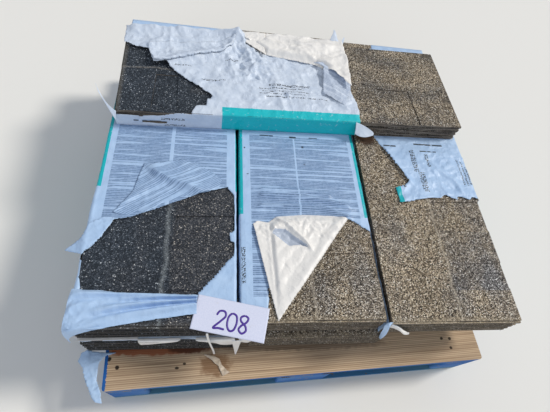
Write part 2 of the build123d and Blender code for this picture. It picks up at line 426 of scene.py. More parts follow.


# Polyethylene wrapping film: blown as a thin white sheet and printed on its outside.
# Smooth with a soft gloss, covered in fine crinkles; the print is thin and matt.
# The outside is drawn in the pale blue that the photo shows, the back nearer white.
# That pale blue is painted shade: the white film as it looks under blue sky light.
def makeFilm(name, look):
    material, add, shader = newMaterial(name)
    uv = add("UVMap", uv_map="flatSheet")
    mm = add("Mapping", uv, Scale=(1000, 1000, 1000))
    split = add("SeparateXYZ", mm)
    # dust and scuffs, 40 mm patches
    dustRange = clouds(add, mm, 40, 0.35, 0.75, 0.0, 0.55, Detail=5.0, Roughness=0.65)
    colour = add("Mix RGBA", dustRange, A=look["white"], B=look["dusty"])
    if look["printed"]:
        # rows of small grey strokes, broken into words and with blank rows between blocks; no letters
        down, alongRow = (0, 1) if look["rowsAlong"] else (1, 0)
        row = add("Math MULTIPLY", split.outputs[down], 1 / look["rowPitch"])
        rowIndex = add("Math FLOOR", row)
        rowPart = add("Math FRACT", row)
        inRow = add("Math COMPARE", rowPart, 0.5, 0.27)
        wordPlace = add("CombineXYZ", split.outputs[alongRow], rowIndex)
        wordScale = add("Mapping", wordPlace, Scale=(1 / look["word"], 7.3, 1))
        wordMask = clouds(add, wordScale, 1.0, 0.40, 0.47, look["wordGap"], Detail=1.5, noise_dimensions="2D")
        # irregular pale gaps between blocks of rows, drawn out along them
        gapPlace = add("Mapping", mm, Scale=(1 / 8, 1 / 240, 1) if look["rowsAlong"] else (1 / 240, 1 / 8, 1))
        blockMask = clouds(add, gapPlace, 1.0, 0.41, 0.45, 0.1, Detail=2.0, Roughness=0.5, noise_dimensions="2D")
        area = add("Attribute", attribute_name="printArea")
        written = add("Math MULTIPLY", inRow, wordMask)
        inBlocks = add("Math MULTIPLY", written, blockMask)
        inArea = add("Math MULTIPLY", inBlocks, area.outputs["Fac"])
        tintArea = add("Math MULTIPLY", area.outputs["Fac"], blockMask)
        tint = add("Math MULTIPLY", tintArea, look["tint"])
        colour = add("Mix RGBA", tint, A=colour, B=look["ink"])
        strokes = add("Math MULTIPLY", inArea, look["inkStrength"])
        colour = add("Mix RGBA", strokes, A=colour, B=look["ink"])
        band = add("Attribute", attribute_name="bandArea")
        rubbedRange = clouds(add, mm, 12, 0.62, 0.74, 1.0, 0.35, Detail=4.0)
        bandFactor = add("Math MULTIPLY", band.outputs["Fac"], rubbedRange)
        colour = add("Mix RGBA", bandFactor, A=colour, B=look["band"])
        # heavier dark bars, and rows of broken strokes that stand for words
        for key, size, low, high in (("bars", 12.0, 0.36, 0.42), ("strokes", 4.0, 0.47, 0.53)):
            if look.get(key):
                left = clouds(add, mm, size, low, high, 0.0, 0.9, Detail=3.0)
                inside = None
                for a0, a1, y0, y1 in look[key]:
                    inA = add("Math COMPARE", split, (a0 + a1) / 2, (a1 - a0) / 2)
                    inY = add("Math COMPARE", split.outputs[1], (y0 + y1) / 2, (y1 - y0) / 2)
                    box = add("Math MULTIPLY", inA, inY)
                    inside = box if inside is None else add("Math MAXIMUM", inside, box)
                barFactor = add("Math MULTIPLY", inside, left)
                colour = add("Mix RGBA", barFactor, A=colour, B=look["dark"])
        if look.get("tan"):
            tan = add("Attribute", attribute_name="tanArea")
            colour = add("Mix RGBA", tan.outputs["Fac"], A=colour, B=look["tan"])
    # painted shade: a darker blue-grey laid where the flap's hollow lies
    if look.get("shaded"):
        hollow = add("Attribute", attribute_name="hollowArea")
        colour = add("Mix RGBA", hollow.outputs["Fac"], A=colour, B=look["shaded"])
    grimeRange = clouds(add, mm, 16, 0.66, 0.74, 0.0, 0.5, Detail=6.0, Roughness=0.75)
    colour = add("Mix RGBA", grimeRange, A=colour, B=look["grime"])
    plug(colour, shader.inputs["Base Color"])
    shader.inputs["Roughness"].default_value = 0.42
    shader.inputs["Specular IOR Level"].default_value = 0.4
    # facets between sharp creases, about 26 mm wide, bent by noise, and crinkles of 12 mm over them
    crinkle = add("TexNoise", mm, Scale=1 / 12, Detail=4.0, Roughness=0.55)
    bent = add("VectorMath MULTIPLY_ADD", crinkle.outputs["Color"], (16, 16, 0), mm)
    folded = add("TexVoronoi", bent, Scale=1 / 26)
    height = add("Math MULTIPLY_ADD", folded.outputs["Distance"], 1.3, crinkle)
    raised = add("Bump", Strength=look["crinkle"], Distance=0.004, Height=height)
    plug(raised, shader.inputs["Normal"])
    return material


# painted shade: the whites, dust tones and ink of the printed looks below are drawn blue, as white film and grey
# print look under blue sky light; the dust patches themselves are real
filmLook = {
    "white": "#afcaea", "dusty": "#97b7dd", "ink": "#3f5c88", "band": "#0fb0ba", "grime": "#8d8474",
    "dark": "#23252b", "rowPitch": 5.0, "rowsAlong": False, "word": 9, "wordGap": 0.6, "tint": 0.26,
    "inkStrength": 0.66, "crinkle": 0.35, "printed": True,
}
leftPrinted = makeFilm("printedFilmLeft", filmLook)
middlePrinted = makeFilm("printedFilmMiddle", dict(
    filmLook, bars=[(-16, -6, 88, 146), (184, 191, 509, 517), (185, 192, 447, 454), (19, 24, 406, 411),
        (12, 16, 497, 502), (60, 100, 549, 553), (150, 170, 546, 553), (210, 236, 550, 553)],
    strokes=[(2, 12, 90, 184)]))
rightPrinted = makeFilm("printedFilmRight", dict(
    filmLook, rowsAlong=True, crinkle=0.6, bars=[(193, 292, 559, 565), (206, 262, 530, 535), (88, 130, 546, 552)],
    strokes=[(168, 184, 450, 536), (180, 200, 380, 450), (322, 328, 410, 506), (333, 339, 408, 500),
        (343, 348, 412, 480), (216, 228, 470, 520), (120, 128, 390, 440)]))
acrossPrinted = makeFilm("printedFilmAcross", dict(
    filmLook, white="#d0dbea", dusty="#a9bad2", band="#10bac4", rowsAlong=True, crinkle=0.6, tan="#e6cda9",
    bars=[(383, 388, 44, 58)], strokes=[(371, 379, 118, 184), (396, 403, 126, 186), (218, 226, 430, 560),
        (232, 236, 400, 540), (244, 248, 410, 560), (256, 260, 400, 540), (268, 272, 420, 610), (160, 166, 150, 200),
        (214, 220, 230, 300), (128, 133, 300, 340)]))
sleevePrinted = makeFilm("sleeveFilm", dict(filmLook, white="#ccdbec", dusty="#b9cade", tan="#efebe4", crinkle=0.6))
plainPrinted = makeFilm("scrapFilm", dict(filmLook, crinkle=0.6))
# shaded is the painted shade in the flap's hollow
backLook = dict(filmLook, white="#eceae7", dusty="#dbd9d6", printed=False, crinkle=0.45, shaded="#8ea5c4")
plainFilm = makeFilm("filmBack", backLook)
gluedFilm = makeFilm("gluedFilm", dict(backLook, white="#c6b8a7", dusty="#a8937a", crinkle=0.9))

warmGrains = [(0.0, "#2b251e"), (0.20, "#4c4338"), (0.38, "#786b5a"), (0.58, "#9c8e79"), (0.76, "#bbac95"),
    (0.88, "#dacdb5"), (0.96, "#f2ebde")]
coolGrains = [(0.0, "#24262b"), (0.24, "#3c4047"), (0.48, "#575c64"), (0.68, "#777c85"), (0.84, "#9a9fa8"),
    (0.93, "#bfc3ca"), (0.98, "#e4e7ea")]
# painted shade: the two dark, cool blends below draw the grains as they look in shade, for the left bundles and the
# across bundle's left end
shadeDarkGrains = [(0.0, "#20262d"), (0.34, "#2b323b"), (0.62, "#373f49"), (0.81, "#49515b"), (0.915, "#636b75"),
    (0.968, "#8a929b"), (0.991, "#bcc2c8")]
shadeDuskGrains = [(0.0, "#26292e"), (0.32, "#363a41"), (0.60, "#484b52"), (0.80, "#5e6064"), (0.92, "#7d7c7c"),
    (0.972, "#a39f99"), (0.992, "#cdc8c0")]
darkLayers = [(0.30, "#0f0f11"), (0.45, "#1f1f20"), (0.54, "#363433"), (0.61, "#6a6661"), (0.67, "#2b2928")]
brownLayers = [(0.30, "#171513"), (0.42, "#322d29"), (0.52, "#5a5148"), (0.59, "#9c9082"), (0.66, "#4a433c")]
brownBlend = {"grain": 2.0, "layers": brownLayers, "warm": warmGrains, "cool": coolGrains, "shade": 1.0}
# the tooth ramp goes along the bundle: how much cooler the exposed half is from there on. On the across bundle it is
# painted shade: its left third is drawn all in the dark shade grains
granuleLooks = {
    # the left bundles are drawn all in painted shade, in the dark and dusk shade grains
    "left": {"grain": 2.1, "layers": darkLayers, "warm": shadeDuskGrains, "cool": shadeDarkGrains, "coolness": 0.95,
        "exposedFrom": 190.0, "exposedSign": -1.0, "teeth": [(0.0, "#ffffff"), (0.3, "#ffffff")], "shade": 1.0,
        "line": 183.0, "lineWide": 8.0, "lineStrength": 0.6, "chalk": "#8b9296", "rubbed": 0.1},
    "middle": {**brownBlend, "coolness": 0.12, "exposedFrom": 176.0, "teeth": [(0.0, "#202020"), (0.3, "#303030")],
        "shade": 0.95, "line": 176.0, "lineWide": 5.0, "lineStrength": 0.5, "chalk": "#b9b0a2", "rubbed": 0.35},
    "right": {**brownBlend, "coolness": 0.08, "exposedFrom": 186.0,
        "teeth": [(0.0, "#303030"), (0.077, "#a0a0a0"), (0.15, "#909090"), (0.24, "#505050"), (0.4, "#909090")],
        "line": 186.0, "lineWide": 4.5, "lineStrength": 0.7, "chalk": "#b9b0a0", "rubbed": 0.45,
        "dirt": [(2, 64, 550, 606, "#5b3f2a", 0.95), (22, 62, 546, 574, "#2b201a", 0.7)]},
    # the across bundle's left end is painted shade, drawn in the dark shade grains
    "across": {**brownBlend, "grain": 2.1, "cool": shadeDarkGrains, "coolness": 0.25, "exposedFrom": -20.0,
        "teeth": [(0.0, "#ffffff"), (0.36, "#303030")], "line": 176.0, "lineWide": 5.0, "lineStrength": 0.3,
        "chalk": "#b5aea4", "rubbed": 0.2},
}
for name, corner in upperPlaces.items():
    material = makeGranules("granules_" + name, corner, 0.0, load["topLevel"] - bundle["high"], granuleLooks[name])
    dress("upper_bundle_" + name, material)
for name, corner in lowerPlaces.items():
    look = granuleLooks["left" if name == "left" else "middle"]
    material = makeGranules("granules_lower_" + name, corner, 0.0, load["topLevel"] - 2 * bundle["high"], look)
    dress("lower_bundle_" + name, material)
# the across bundle's own x runs from the back to the front, so its corner is the back left one, turned a quarter
backCorner = acrossToLoad(np.array([0.0, 0.0, 0.0]))
material = makeGranules("granules_across", backCorner[:2].tolist(), acrossPlace["turn"] - 90.0, load["topLevel"],
    granuleLooks["across"])
dress("across_bundle", material)
print("granules done")


# Weathered softwood pallet: rough-sawn pine, grey-brown, grain along each board, edges once painted blue.
def makeWood(name, look):
    material, add, shader = newMaterial(name)
    coordinates = add("TexCoord")
    mm = add("Mapping", coordinates.outputs["Object"], Scale=(1000, 1000, 1000))
    long, short = (1 / 300, 1 / 3.4)
    scale = (long, short, short) if look["along"] == "x" else (short, long, short)
    drawn = add("Mapping", mm, Scale=scale)
    grain = add("TexNoise", drawn, Scale=1.0, Detail=6.0, Roughness=0.62, Distortion=0.15)
    grainColour = add("ValToRGB", grain, ramp=look["ramp"])
    wide = add("Mapping", mm, Scale=(1 / 330, 1 / 120, 1 / 120))
    stretch = add("Mapping", mm, Scale=(0.12, 1, 1) if look["along"] == "x" else (1, 0.12, 1))
    weather = add("TexNoise", wide, Scale=1.0, Detail=3.0)
    weatherRange = add("MapRange", weather, 0.38, 0.66, 0.0, 0.75)
    colour = add("Mix RGBA", weatherRange, A=grainColour, B=look["grey"])
    fibres = add("MapRange", grain, 0.35, 0.65, 0.72, 1.12)
    colour = add("HueSaturation", Value=fibres, Color=colour)
    # thin dark lines of late wood, about 5 mm apart, bent a little
    rings = add("TexWave", stretch, wave_type="BANDS", bands_direction="Y" if look["along"] == "x" else "X",
        Scale=1 / 15, Distortion=2.0, Detail=3.0, Detail_Scale=0.5)
    late = add("MapRange", rings.outputs["Fac"], 0.5, 0.95, 0.0, 0.62)
    colour = add("Mix RGBA", late, A=colour, B=look["late"])
    if "stain" in look:
        # rust-brown run-off under the stack, along the front of the lower bundles; a darker grey-brown band along the
        # foot of the middle and right bundles; dark nail spots
        own = placeFrame(add, (0.0, 0.0), 0.0, 0.0)
        for x0, x1, y0, y1, tone, strength in look["stain"]:
            colour = stained(add, own, colour, x0, x1, y0, y1, tone, strength)
    if "paintedEnd" in look:
        # paint ran over from the end of the board
        places = add("SeparateXYZ", mm)
        ragged = add("Math MULTIPLY_ADD", grain, 9.0, places)
        over = add("Math LESS_THAN", ragged, look["paintedEnd"])
        colour = add("Mix RGBA", over, A=colour, B=look["paint"][0])
    # paint on the sides, or all over a base board, chipped in 22 mm patches and faded with the weather
    side = standing(add, 1.1 if look.get("allPainted") else 0.6)
    left = clouds(add, mm, 22, look["worn"] + 0.03, look["worn"] - 0.03, Detail=6.0, Roughness=0.7)
    painted = add("Math MULTIPLY", side, left)
    faded = add("MapRange", weather, 0.4, 0.6)
    paint = add("Mix RGBA", faded, A=look["paint"][0], B=look["paint"][1])
    colour = add("Mix RGBA", painted, A=colour, B=paint)
    plug(colour, shader.inputs["Base Color"])
    shader.inputs["Roughness"].default_value = 0.8
    shader.inputs["Specular IOR Level"].default_value = 0.25
    raised = add("Bump", Strength=0.5, Distance=0.0012, Height=grain)
    plug(raised, shader.inputs["Normal"])
    return material


bluePaint = ("#1c599f", "#4a78ae")
dirtyPaint = ("#3a6f9c", "#4f7f98")
plankRamp = [(0.30, "#a48a6d"), (0.46, "#c0a587"), (0.58, "#cfb799"), (0.70, "#b1977a")]
plankEnd = min(corner[0] for corner in nodes["lead_board_front"].bound_box) * 1000
greyRamp = [(0.30, "#5e564b"), (0.46, "#857b6c"), (0.58, "#9a9080"), (0.70, "#756b5d")]
greyBoard = {"ramp": greyRamp, "grey": "#8c8578", "late": "#4f4638", "paint": bluePaint, "worn": 0.55}
woodLooks = {
    "plank": {"along": "x", "ramp": plankRamp, "grey": "#b3a08a", "late": "#85694e", "paint": bluePaint, "worn": 0.72,
        "paintedEnd": plankEnd + 12.0,
        "stain": [(10, 306, -34, -4, "#8a4522", 0.85), (190, 300, -31, -6, "#3a2015", 0.75),
            (272, 350, -88, -30, "#75553a", 0.75), (330, 760, -30, 0, "#4a4038", 0.5),
            (48, 58, -44, -34, "#1d1714", 0.95), (69, 79, -64, -54, "#1d1714", 0.95),
            (211, 222, -68, -61, "#1d1714", 0.9), (230, 238, -58, -52, "#1d1714", 0.9),
            (946, 956, -12, -3, "#1d1714", 0.9), (971, 981, -13, -4, "#1d1714", 0.9),
            (968, 978, -38, -29, "#1d1714", 0.9)]},
    "board": dict(greyBoard, along="x"),
    "stringer": dict(greyBoard, along="y"),
    "block": dict(greyBoard, along="y", worn=0.64),
    "base": dict(greyBoard, along="x", paint=dirtyPaint, worn=0.62, allPainted=True),
}
woods = {key: makeWood("pallet_" + key, look) for key, look in woodLooks.items()}
woodOf = {"lead_board_front": "plank", "lead_board": "board", "deck_board": "board", "base_board": "base",
    "stringer_board": "stringer", "block": "block"}       # the first that a piece's name starts with
for name in nodes:
    kind = next((wood for start, wood in woodOf.items() if name.startswith(start)), None)
    if kind:
        dress(name, woods[kind])
print("wood done")


# Wrappers. A sheet's sides go down at a < 0 and a > width, and its floor joins them.
filmSizes = {"out": 1.6, "floorUp": 0.45, "bandDown": 88}    # mm: off the shingles, over the floor, down the sides


def roundBundle(a, y, high, out, h):
    # the path round a box, set out from it, with h along the outward direction
    w = bundle["width"]
    left, right = a < 0, a > w
    belowLeft, belowRight = a < -high, a > w + high
    x = np.clip(a, 0, w)
    x = np.where(left, -out - h, x)
    x = np.where(right, w + out + h, x)
    x = np.where(belowLeft, -high - a, x)
    x = np.where(belowRight, w - (a - w - high), x)
    z = np.where(left, np.clip(a, -high, 0), h)
    z = np.where(right, np.clip(w - a, -high, 0), z)
    z = np.where(belowLeft | belowRight, -high + filmSizes["floorUp"], z)
    return np.stack([x, y, z + 0 * a], -1)


def wrapperDistance(loops, ends, seed, ragged=1.3):
    # film is what is outside every tear and between the ragged ends; the floor's end stays inside the bundle
    def distance(a, y):
        below = (a < -bundle["high"]) | (a > bundle["width"] + bundle["high"])
        front = np.where(below, 9.0, ends[0] + 2.0 * smoothNoise(a, y, 23, seed + 7))
        d = np.minimum(y - front, ends[1] - y)
        for i, loop in enumerate(loops):
            d = np.minimum(d, loopDistance(a, y, loop, ragged, seed + 10 * i))
        return d
    return distance


def sideBand(y0, y1, left=0.0, right=0.0):
    # the coloured band down both sides, and over each top edge by its reach
    w, down = bundle["width"], filmSizes["bandDown"]
    return lambda a, y: (((a < left) & (a > -down)) | ((a > w - right) & (a < w + down))) * (y > y0) * (y < y1) * 1.0


def columns(boxes):
    # places of small print as boxes of (a from, a to, y from, y to)
    def area(a, y):
        found = np.zeros(len(a))
        for a0, a1, y0, y1 in boxes:
            found = np.maximum(found, (a > a0) * (a < a1) * (y > y0) * (y < y1))
        return found
    return area


def patch(outline, height, place, spacing=3.0, ragged=0.8, seed=5, flip=False, flatTurn=0.0, **marks):
    # a loose part of a sheet, cut to its outline and lifted by its height; place is its bundle's corner, or None
    corners = np.array(outline, float)
    low, high = corners.min(0) - 3, corners.max(0) + 3
    lines = [np.linspace(low[i], high[i], int((high[i] - low[i]) / spacing) + 2) for i in (0, 1)]

    def lift(a, y):
        points = np.stack([a, y, height(a, y)], -1)
        return points if place is None else ownToLoad(points, place, 0.0)

    film = cutSheet(lines[0], lines[1], lambda a, y: -loopDistance(a, y, outline, ragged, seed), lift, **marks)
    fa, fy = turned(film["flat"][:, 0], film["flat"][:, 1], flatTurn)
    film["flat"] = np.stack([fa, fy], -1)
    if flip:
        film["quads"] = film["quads"][:, ::-1]
    return film


def onPlace(line, place, h):
    # points of a bundle's top with their heights, in the load's frame
    return [(x + place[0], y + place[1], z) for (x, y), z in zip(line, h)]


def calm(a, y):
    # nothing stands up where the across bundle or the card lies, or round the bottom
    return (1 - fade(y, 525, 556)) * fade(a, -91, -70) * (1 - fade(a, 419, 440))


def placeUpper(name, height):
    # a sheet's point: round its bundle, out by its height, then to the bundle's place
    return lambda a, y: ownToLoad(
        roundBundle(a, y, bundle["high"], filmSizes["out"], height(a, y)), upperPlaces[name], 0.0)


aLinesUpper = spaced([(-261, 40), (-91, 8), (-16, 4), (24, 5), (325, 4), (365, 8), (440, 40), (610, 40)])
yLinesUpper = spaced([(-6, 4.0), (575, 40), (900, 12), (1044, 12)])

# Left wrapper: torn open at the front, the upper part folded back over the print, the lower part pulled
# fanwise over the front corner.
leftFilm = {
    "tear": [(48, 256), (97, 268), (170, 302), (258, 343), (326, 366), (345, 343), (347, 300), (346, 236), (335, 230),
        (337, 208), (347, 204), (346, 173), (260, 70), (190, 72), (97, 74), (47, 82), (11, 82), (3, 110), (-1, 150),
        (-2, 167), (32, 210)],
    "low": [(60, -30), (66, -3), (127, 9), (195, 18), (257, 27), (300, 12), (345, 6), (470, 60), (620, 60),
        (620, -30)],
    "side": [(-180, -30), (-84, -30), (-92, 40), (-92, 300), (-290, 300), (-290, -30)],
    "flap": [(48, 277), (54, 284), (86, 338), (106, 433), (124, 426), (158, 440), (225, 458), (292, 410), (324, 384),
        (327, 366), (258, 343), (170, 302), (97, 268)],
    "crest": [(112, 418), (149, 392), (184, 375), (262, 349), (310, 362)],
    "crease": [(56, 285), (86, 318), (147, 381)],
    "tip": [(58, 262), (30, 264), (-1, 244), (-12, 210), (-46, 181), (-2, 165), (32, 208)],
}


def heightLeft(a, y):
    # the film bags out along the left edge and is a little raised where it folds back
    bag = (5 + 3 * smoothNoise(a, y, 80, 15)) * bump(a, -12, 13) * (1 - fade(y, 300, 420))
    h = 0.5 + 1.2 * creases(a, y, 46, 11) + bag
    edge, _, _ = lineDistance(a, y, leftFilm["tear"][:5])
    return np.maximum(h + 3 * bump(edge, 0, 18), 0.1) * calm(a, y)


def heightLeftFlap(a, y):
    # a sharp crest, steep in front and long behind
    h = 2.8 + 1.6 * creases(a, y, 40, 43)
    h = h + crest(a, y, leftFilm["crest"], 17, 26, 10) * fade(a, 100, 140) * (1 - fade(a, 225, 300))
    h = h + crest(a, y, leftFilm["crease"], 4, 14, 6)
    behind, _, _ = lineDistance(a, y, [(158, 440), (225, 458), (324, 384)])
    return h - 2.5 * bump(behind, 0, 20)


def heightLeftTip(a, y):
    # small creases, sloping down past the bundle's left edge
    return 4 + 3 * creases(a, y, 30, 44) - 0.42 * np.clip(-a - 2, 0, 60)


drapeRows = [([(-8, 84), (11, 82), (97, 75), (190, 72), (262, 69)], [1, 3, 3, 3, 3]),
    ([(-10, 66), (11, 72), (97, 71), (190, 70), (262, 67)], [2, 11, 11, 10, 7]),
    ([(-11, 50), (11, 60), (97, 63), (190, 65), (262, 64)], [1, 2, 2, 9, 11]),
    ([(-11, 36), (12, 46), (97, 54), (190, 58), (262, 61)], [1, 9, 2, 1, 2]),
    ([(-12, 20), (12, 30), (97, 44), (190, 52), (262, 57)], [1, 3, 15, 13, 10]),
    ([(-12, 8), (12, 16), (97, 34), (190, 46), (262, 52)], [0, 2, 3, 1, 2]),
    ([(-13, -2), (12, 4), (97, 24), (190, 38), (262, 47)], [-8, 4, 11, 14, 11]),
    ([(-14, -9), (8, -6), (88, 10), (190, 27), (262, 38)], [-30, 0, 5, 5, 4]),
    ([(-15, -11), (2, -10), (66, -2), (190, 18), (262, 27)], [-90, -34, 1, 2, 2])]


def drapeRelief(x, y, u, v):
    # fan folds that fade to the left, and small crumples
    crumples = 3.0 * creases(x, y, 26, 46) * bump(v, 0.5, 0.42)
    return crumples + 2.6 * np.sin(v * 23 + 3 * u) * fade(u, 0.15, 0.6) * bump(v, 0.5, 0.4)


leftParts = [
    cutSheet(aLinesUpper, yLinesUpper,
        wrapperDistance([leftFilm["tear"], leftFilm["low"], leftFilm["side"]], (-3, 1042), 101),
        placeUpper("left", heightLeft), printArea=columns([(23, 168, 245, 565), (181, 323, 245, 565)]),
        bandArea=sideBand(353, 742, 8.0, 1.5)),
    patch(leftFilm["flap"], heightLeftFlap, upperPlaces["left"], flatTurn=-36.0, seed=41, printArea=0.75),
    patch(leftFilm["tip"], heightLeftTip, upperPlaces["left"], flatTurn=20.0, seed=45,
        printArea=columns([(30, 80, 200, 300)])),
    loft([onPlace(line, upperPlaces["left"], h) for line, h in drapeRows], 80, 64, 1.5, 47, drapeRelief, True)]
leftWrapper = makePiece("film_wrapper_left", leftParts, [leftPrinted, plainFilm])
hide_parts("upper_wrapper_left")

# Middle wrapper: a big flap folded to the front left with its edges rolled, and pleats behind it.
middleFilm = {
    "tear": [(64, -20), (62, 33), (66, 60), (72, 150), (76, 240), (98, 262), (200, 266), (262, 268), (280, 268),
        (297, 271), (320, 253), (352, 234), (368, 228), (372, -20)],
    "flap": [(32, 250), (44, 258), (72, 254), (94, 272), (170, 280), (261, 279), (286, 264), (262, 234), (180, 124),
        (126, 54), (84, -2), (62, 100), (46, 180)],
    "bandInside": [(74, 221), (81, 45)],
    "rollInside": [(277, 268), (91, 12)],
    "hollow": [(76, 220), (87, 231), (111, 232), (125, 223), (141, 207), (155, 198), (172, 178), (149, 186),
        (121, 182), (110, 190), (95, 204), (84, 214)],
    "hollowCrest": [(90, 268), (110, 252), (160, 200), (174, 176)],
    "pleats": [([(60, 357), (124, 358), (200, 355), (250, 342)], 9),
        ([(60, 338), (112, 338), (179, 338), (216, 331), (295, 312)], 12),
        ([(56, 306), (121, 307), (213, 305), (290, 282)], 12)],
    "back": [(14, 1000), (372, 994), (372, 1060), (14, 1060)],
}


def heightMiddle(a, y):
    # low creases and three sharp pleats across the sheet, flat along the left edge and at the front
    h = 0.5 + 1.0 * creases(a, y, 52, 21)
    for line, size in middleFilm["pleats"]:
        h = h + crest(a, y + 2.5 * smoothNoise(a, y, 50, 27), line, size, 5, 8)
    return np.maximum(h * (1 - bump(a, 0, 6)) * fade(y, 60, 90), 0.1) * calm(a, y)


def heightMiddleFlap(a, y):
    # low band on the left, a steep step up from it, a wrinkled top with a hollow, and a roll down to the right edge
    along = fade(y, -2, 110)
    inside = offLine(a, y, *middleFilm["bandInside"])
    beyond = offLine(a, y, *middleFilm["rollInside"])
    h = 3.5 + along * (3 + 8 * fade(inside, 0, 12)) + 1.5 * bump(inside, -3, 4) * along
    h = h + along * (5 * bump(beyond, -4, 11) - 9 * fade(beyond, 2, 26))
    wrinkles = np.abs(np.sin((a * 0.78 - y * 0.62 + 9 * smoothNoise(a, y, 34, 54)) / 9)) ** 0.7 - 0.55
    uneven = 0.6 + 0.4 * smoothNoise(a, y, 40, 55)
    h = h + along * 3.0 * wrinkles * fade(inside, 6, 24) * (1 - fade(beyond, -16, 0)) * uneven
    hole = loopDistance(a, y, middleFilm["hollow"], 0.0, 1)
    h = h - 9 * (1 - fade(hole, -9, 2)) + crest(a, y, middleFilm["hollowCrest"], 8, 6, 4)
    h = h + 6 * (creases(a, y, 30, 56) - 0.3) * fade(y, 180, 240)
    # it comes down to the film at its back, where it folds
    fold, _, _ = lineDistance(a, y, [(32, 250), (72, 256), (94, 272), (170, 280), (261, 279)])
    h = 1.6 + (h - 1.6) * fade(fold, -4, 26)
    return np.maximum(h, 2.0)


middleParts = [
    cutSheet(aLinesUpper, yLinesUpper, wrapperDistance([middleFilm["tear"], middleFilm["back"]], (4, 1042), 102),
        placeUpper("middle", heightMiddle),
        printArea=columns([(29, 158, 262, 552), (164, 330, 276, 552), (29, 74, 60, 262)]),
        bandArea=sideBand(277, 742, 8.0, 8.0)),
    patch(middleFilm["flap"], heightMiddleFlap, upperPlaces["middle"], spacing=2.4, ragged=0.5, seed=51, flip=True,
        # the hollow is painted shade, a darker blue-grey inside its outline
        hollowArea=lambda a, y: 0.62 * (loopDistance(a, y, middleFilm["hollow"], 0.8, 52) < -1))]
middleWrapper = makePiece("film_wrapper_middle", middleParts, [middlePrinted, plainFilm])
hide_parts("upper_wrapper_middle")

# Right wrapper: only its back part is left, its ragged edge turned up along the left.
rightFilm = {
    "tear": [(-14, -20), (-14, 590), (30, 610), (51, 599), (62, 581), (139, 413), (133, 407), (106, 393), (94, 391),
        (94, 338), (117, 341), (186, 358), (230, 360), (244, 371), (263, 362), (278, 356), (285, 369), (322, 358),
        (331, 369), (348, 360), (372, 352), (372, -20)],
    "turnedUp": [(54, 596), (64, 582), (138, 416)],
    "back": [(-14, 1000), (120, 994), (150, 1060), (-14, 1060)],
}


def heightRight(a, y):
    # creases, a swell near the tear, its edge turned up on the left, and two sharp folds
    h = 0.8 + 3.4 * creases(a, y, 58, 31) + 3.0 * bump(y, 345, 22)
    h = h + crest(a, y, rightFilm["turnedUp"], 6, 12, 4)
    h = h + crest(a, y, [(236, 478), (262, 446), (292, 424), (300, 384)], 6, 7, 5)
    h = h + crest(a, y, [(170, 520), (214, 470), (236, 452)], 4, 7, 5)
    return np.maximum(h, 0.1) * calm(a, y)


rightParts = [cutSheet(aLinesUpper, yLinesUpper,
    wrapperDistance([rightFilm["tear"], rightFilm["back"]], (0, 1042), 103, 2.2),
    placeUpper("right", heightRight),
    bandArea=lambda a, y: (a > 88) * (a < 108) * (y < 394) * 1.0)]
# a curled remnant at the front corner, two arms from one root
curlArms = [[[(704, -9, 5), (698, -15, 0), (713, -17, -56), (722, -19, -96)],
    [(712, -8, 9), (708, -18, 6), (722, -23, -52), (724, -25, -92)],
    [(721, -8, 5), (717, -14, -12), (731, -17, -66), (727, -19, -98)]],
    [[(719, -10, 2), (738, -18, -2), (762, -21, -26), (785, -18, -52)],
        [(722, -10, -8), (744, -24, -14), (768, -25, -44), (790, -20, -64)],
        [(722, -10, -26), (748, -16, -34), (770, -17, -60), (790, -15, -78)]]]
for i, rows in enumerate(curlArms):
    rightParts.append(loft(rows, 40, 14, 2.0, 57 + i, lambda x, y, u, v: 2.5 * creases(x, y * 3, 18, 58)))
rightWrapper = makePiece("film_wrapper_right", rightParts, [rightPrinted, plainFilm])
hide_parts("upper_wrapper_right")

# Across wrapper: torn over its left end, crumpled in the middle, thrown back over itself on the right.
acrossFilm = {
    "tear": [(75, -30), (75, 0), (88, 23), (101, 70), (163, 89), (159, 125), (211, 175), (248, 224), (282, 262),
        (299, 246), (316, 243), (319, 216), (342, 205), (351, 200), (350, 180), (354, 149), (362, 120), (365, 93),
        (368, 70), (366, 37), (363, -30)],
    "slit": [(387, 60), (383, 80), (387, 104), (386, 134), (392, 134), (394, 104), (393, 78)],
    "rightEnd": [(-62, 708), (10, 699), (119, 698), (224, 692), (270, 702), (330, 704), (409, 702), (409, 1100),
        (-62, 1100)],
    "ridgeBehind": [(82, 71), (55, 129), (47, 220), (36, 273), (22, 343)],
    "ridgeFront": [(160, 84), (156, 129), (140, 172), (121, 222), (103, 293), (60, 325), (14, 343)],
    "crumples": [([(62, 346), (114, 312), (160, 318)], 6), ([(20, 353), (90, 372), (166, 388)], 12),
        ([(150, 392), (189, 330)], 5),
        ([(43, 363), (100, 410), (182, 430)], 8), ([(139, 432), (210, 462), (262, 486)], 5),
        ([(120, 330), (150, 372)], 7)],
    "lap": [(84, 66), (101, 70), (163, 89), (161, 120), (156, 140), (140, 178), (123, 224), (104, 293), (66, 326),
        (30, 336), (50, 270), (62, 200), (66, 130)],
    "fold": [(-10, 346), (20, 360), (49, 390), (89, 431), (104, 512), (119, 588), (136, 616), (160, 640), (224, 690),
        (119, 697), (10, 698), (-10, 700), (-14, 520)],
    "foldFront": [(49, 390), (89, 431), (104, 512), (119, 588), (136, 614)],
    "tip": [(119, 580), (136, 612), (243, 598), (291, 659), (224, 691), (170, 696), (110, 660)],
    "tan": [(-6, 350), (20, 352), (45, 364), (102, 430), (60, 424), (-8, 434)],
}


